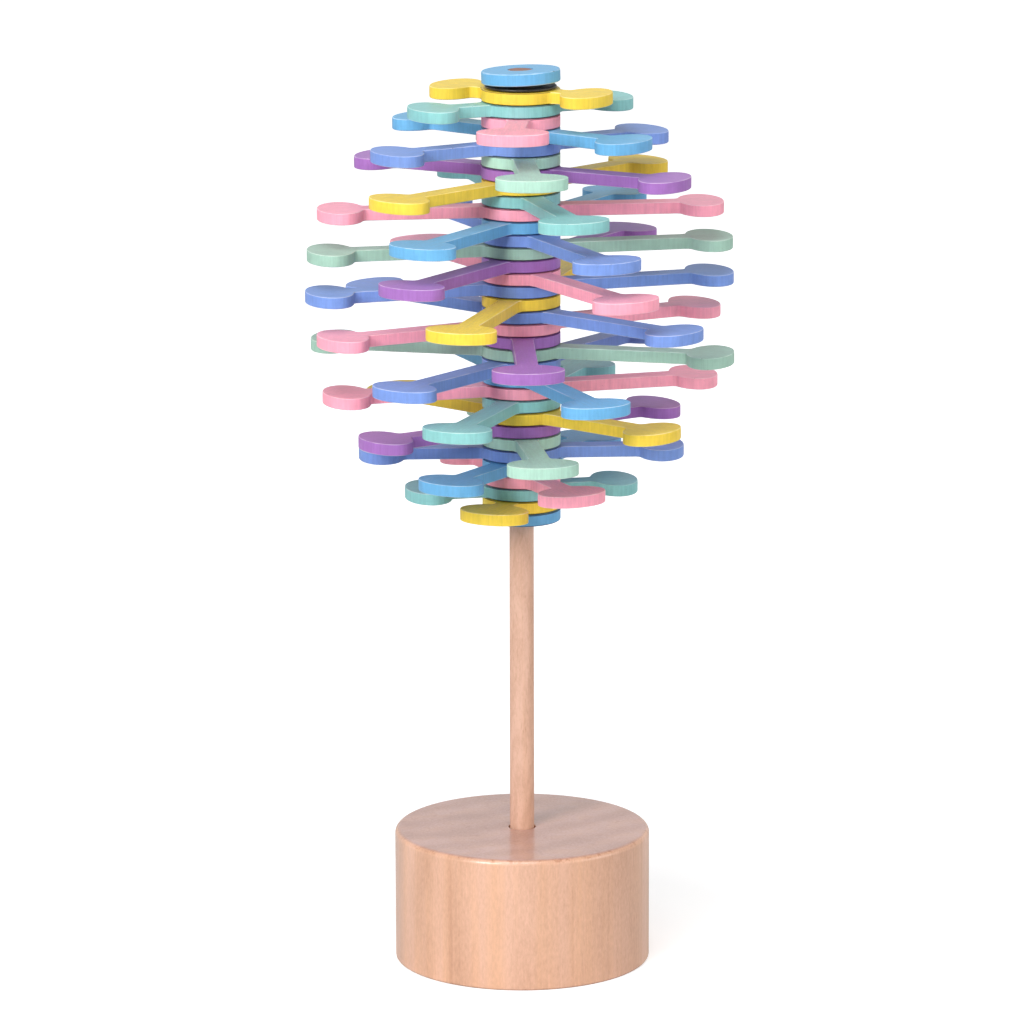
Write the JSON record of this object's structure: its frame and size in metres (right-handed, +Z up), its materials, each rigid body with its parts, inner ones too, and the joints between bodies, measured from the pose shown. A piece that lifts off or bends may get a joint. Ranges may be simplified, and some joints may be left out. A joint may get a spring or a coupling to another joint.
{
  "type": "rotating fidget toy",
  "caption": "Desk fidget toy: painted double-ended wooden blades stacked on a dowel that spins in a round wooden base, each blade driving the next.",
  "frame": {"origin": "middle of the base's underside, where the toy stands on the table", "axes": "+Z up along the rod; -Y towards the viewer of the picture, +X to the viewer's right"},
  "size_m": [0.136, 0.1388, 0.2906],
  "materials": {
    "base_wood": "satin lacquer over natural wood",
    "rod_wood": "bare natural wood",
    "washer_rubber": "satin",
    "paint_yellow": "matt stain with the grain showing",
    "paint_teal": "matt stain with the grain showing",
    "paint_pink": "matt stain with the grain showing",
    "paint_sky": "matt stain with the grain showing",
    "paint_periwinkle": "matt stain with the grain showing",
    "paint_mint": "matt stain with the grain showing",
    "paint_purple": "matt stain with the grain showing"
  },
  "bodies": {
    "base": {"base_block": "base_wood"},
    "stick": {"rod": "rod_wood", "bottom_collar": "paint_sky", "end_cap": "paint_sky"},
    "washer": {"top_washer": "washer_rubber"},
    "blade_01": {"blade_01": "paint_yellow"},
    "blade_02": {"blade_02": "paint_teal"},
    "blade_03": {"blade_03": "paint_pink"},
    "blade_04": {"blade_04": "paint_sky"},
    "blade_05": {"blade_05": "paint_periwinkle"},
    "blade_06": {"blade_06": "paint_mint"},
    "blade_07": {"blade_07": "paint_purple"},
    "blade_08": {"blade_08": "paint_yellow"},
    "blade_09": {"blade_09": "paint_teal"},
    "blade_10": {"blade_10": "paint_pink"},
    "blade_11": {"blade_11": "paint_sky"},
    "blade_12": {"blade_12": "paint_periwinkle"},
    "blade_13": {"blade_13": "paint_mint"},
    "blade_14": {"blade_14": "paint_purple"},
    "blade_15": {"blade_15": "paint_pink"},
    "blade_16": {"blade_16": "paint_periwinkle"},
    "blade_17": {"blade_17": "paint_yellow"},
    "blade_18": {"blade_18": "paint_periwinkle"},
    "blade_19": {"blade_19": "paint_pink"},
    "blade_20": {"blade_20": "paint_purple"},
    "blade_21": {"blade_21": "paint_mint"},
    "blade_22": {"blade_22": "paint_periwinkle"},
    "blade_23": {"blade_23": "paint_sky"},
    "blade_24": {"blade_24": "paint_pink"},
    "blade_25": {"blade_25": "paint_teal"},
    "blade_26": {"blade_26": "paint_yellow"},
    "blade_27": {"blade_27": "paint_purple"},
    "blade_28": {"blade_28": "paint_mint"},
    "blade_29": {"blade_29": "paint_periwinkle"},
    "blade_30": {"blade_30": "paint_sky"},
    "blade_31": {"blade_31": "paint_pink"},
    "blade_32": {"blade_32": "paint_teal"},
    "blade_33": {"blade_33": "paint_yellow"}
  },
  "joints": [
    {"name": "stick_spin", "type": "hinge", "parent": "base", "child": "stick", "pos_m": [0, 0, 0.0103], "axis": [0, 0, 1], "continuous": true},
    {"name": "blade_33_turn", "type": "hinge", "parent": "stick", "child": "blade_33", "pos_m": [0, 0, 0.151], "axis": [0, 0, 1], "range_deg": [-22, 58]},
    {"name": "blade_32_turn", "type": "hinge", "parent": "blade_33", "child": "blade_32", "pos_m": [0, 0, 0.1551], "axis": [0, 0, 1], "range_deg": [-32, 48]},
    {"name": "blade_31_turn", "type": "hinge", "parent": "blade_32", "child": "blade_31", "pos_m": [0, 0, 0.1592], "axis": [0, 0, 1], "range_deg": [-12, 68]},
    {"name": "blade_30_turn", "type": "hinge", "parent": "blade_31", "child": "blade_30", "pos_m": [0, 0, 0.1633], "axis": [0, 0, 1], "range_deg": [-29, 51]},
    {"name": "blade_29_turn", "type": "hinge", "parent": "blade_30", "child": "blade_29", "pos_m": [0, 0, 0.1674], "axis": [0, 0, 1], "range_deg": [-34, 46]},
    {"name": "blade_28_turn", "type": "hinge", "parent": "blade_29", "child": "blade_28", "pos_m": [0, 0, 0.1715], "axis": [0, 0, 1], "range_deg": [-3, 77]},
    {"name": "blade_27_turn", "type": "hinge", "parent": "blade_28", "child": "blade_27", "pos_m": [0, 0, 0.1756], "axis": [0, 0, 1], "range_deg": [-23, 57]},
    {"name": "blade_26_turn", "type": "hinge", "parent": "blade_27", "child": "blade_26", "pos_m": [0, 0, 0.1797], "axis": [0, 0, 1], "range_deg": [-15, 65]},
    {"name": "blade_25_turn", "type": "hinge", "parent": "blade_26", "child": "blade_25", "pos_m": [0, 0, 0.1838], "axis": [0, 0, 1], "range_deg": [-17, 63]},
    {"name": "blade_24_turn", "type": "hinge", "parent": "blade_25", "child": "blade_24", "pos_m": [0, 0, 0.1879], "axis": [0, 0, 1], "range_deg": [-35, 45]},
    {"name": "blade_23_turn", "type": "hinge", "parent": "blade_24", "child": "blade_23", "pos_m": [0, 0, 0.192], "axis": [0, 0, 1], "range_deg": [-5, 75]},
    {"name": "blade_22_turn", "type": "hinge", "parent": "blade_23", "child": "blade_22", "pos_m": [0, 0, 0.1961], "axis": [0, 0, 1], "range_deg": [-28, 52]},
    {"name": "blade_21_turn", "type": "hinge", "parent": "blade_22", "child": "blade_21", "pos_m": [0, 0, 0.2002], "axis": [0, 0, 1], "range_deg": [-22, 58]},
    {"name": "blade_20_turn", "type": "hinge", "parent": "blade_21", "child": "blade_20", "pos_m": [0, 0, 0.2043], "axis": [0, 0, 1], "range_deg": [-13, 67]},
    {"name": "blade_19_turn", "type": "hinge", "parent": "blade_20", "child": "blade_19", "pos_m": [0, 0, 0.2084], "axis": [0, 0, 1], "range_deg": [-23, 57]},
    {"name": "blade_18_turn", "type": "hinge", "parent": "blade_19", "child": "blade_18", "pos_m": [0, 0, 0.2125], "axis": [0, 0, 1], "range_deg": [-20, 60]},
    {"name": "blade_17_turn", "type": "hinge", "parent": "blade_18", "child": "blade_17", "pos_m": [0, 0, 0.2166], "axis": [0, 0, 1], "range_deg": [-22, 58]},
    {"name": "blade_16_turn", "type": "hinge", "parent": "blade_17", "child": "blade_16", "pos_m": [0, 0, 0.2207], "axis": [0, 0, 1], "range_deg": [-32, 48]},
    {"name": "blade_15_turn", "type": "hinge", "parent": "blade_16", "child": "blade_15", "pos_m": [0, 0, 0.2248], "axis": [0, 0, 1], "range_deg": [-12, 68]},
    {"name": "blade_14_turn", "type": "hinge", "parent": "blade_15", "child": "blade_14", "pos_m": [0, 0, 0.2289], "axis": [0, 0, 1], "range_deg": [-24, 56]},
    {"name": "blade_13_turn", "type": "hinge", "parent": "blade_14", "child": "blade_13", "pos_m": [0, 0, 0.233], "axis": [0, 0, 1], "range_deg": [-43, 37]},
    {"name": "blade_12_turn", "type": "hinge", "parent": "blade_13", "child": "blade_12", "pos_m": [0, 0, 0.2371], "axis": [0, 0, 1], "range_deg": [-12, 68]},
    {"name": "blade_11_turn", "type": "hinge", "parent": "blade_12", "child": "blade_11", "pos_m": [0, 0, 0.2412], "axis": [0, 0, 1], "range_deg": [-31, 49]},
    {"name": "blade_10_turn", "type": "hinge", "parent": "blade_11", "child": "blade_10", "pos_m": [0, 0, 0.2453], "axis": [0, 0, 1], "range_deg": [-36, 44]},
    {"name": "blade_09_turn", "type": "hinge", "parent": "blade_10", "child": "blade_09", "pos_m": [0, 0, 0.2494], "axis": [0, 0, 1], "range_deg": [-8, 72]},
    {"name": "blade_08_turn", "type": "hinge", "parent": "blade_09", "child": "blade_08", "pos_m": [0, 0, 0.2535], "axis": [0, 0, 1], "range_deg": [-26, 54]},
    {"name": "blade_07_turn", "type": "hinge", "parent": "blade_08", "child": "blade_07", "pos_m": [0, 0, 0.2576], "axis": [0, 0, 1], "range_deg": [-15, 65]},
    {"name": "blade_06_turn", "type": "hinge", "parent": "blade_07", "child": "blade_06", "pos_m": [0, 0, 0.2617], "axis": [0, 0, 1], "range_deg": [-30, 50]},
    {"name": "blade_05_turn", "type": "hinge", "parent": "blade_06", "child": "blade_05", "pos_m": [0, 0, 0.2658], "axis": [0, 0, 1], "range_deg": [-24, 56]},
    {"name": "blade_04_turn", "type": "hinge", "parent": "blade_05", "child": "blade_04", "pos_m": [0, 0, 0.2699], "axis": [0, 0, 1], "range_deg": [-20, 60]},
    {"name": "blade_03_turn", "type": "hinge", "parent": "blade_04", "child": "blade_03", "pos_m": [0, 0, 0.274], "axis": [0, 0, 1], "range_deg": [-32, 48]},
    {"name": "blade_02_turn", "type": "hinge", "parent": "blade_03", "child": "blade_02", "pos_m": [0, 0, 0.2781], "axis": [0, 0, 1], "range_deg": [-27, 53]},
    {"name": "blade_01_turn", "type": "hinge", "parent": "blade_02", "child": "blade_01", "pos_m": [0, 0, 0.2822], "axis": [0, 0, 1], "range_deg": [-36, 44]},
    {"name": "washer_turn", "type": "hinge", "parent": "stick", "child": "washer", "pos_m": [0, 0, 0.2848], "axis": [0, 0, 1], "continuous": true}
  ]
}
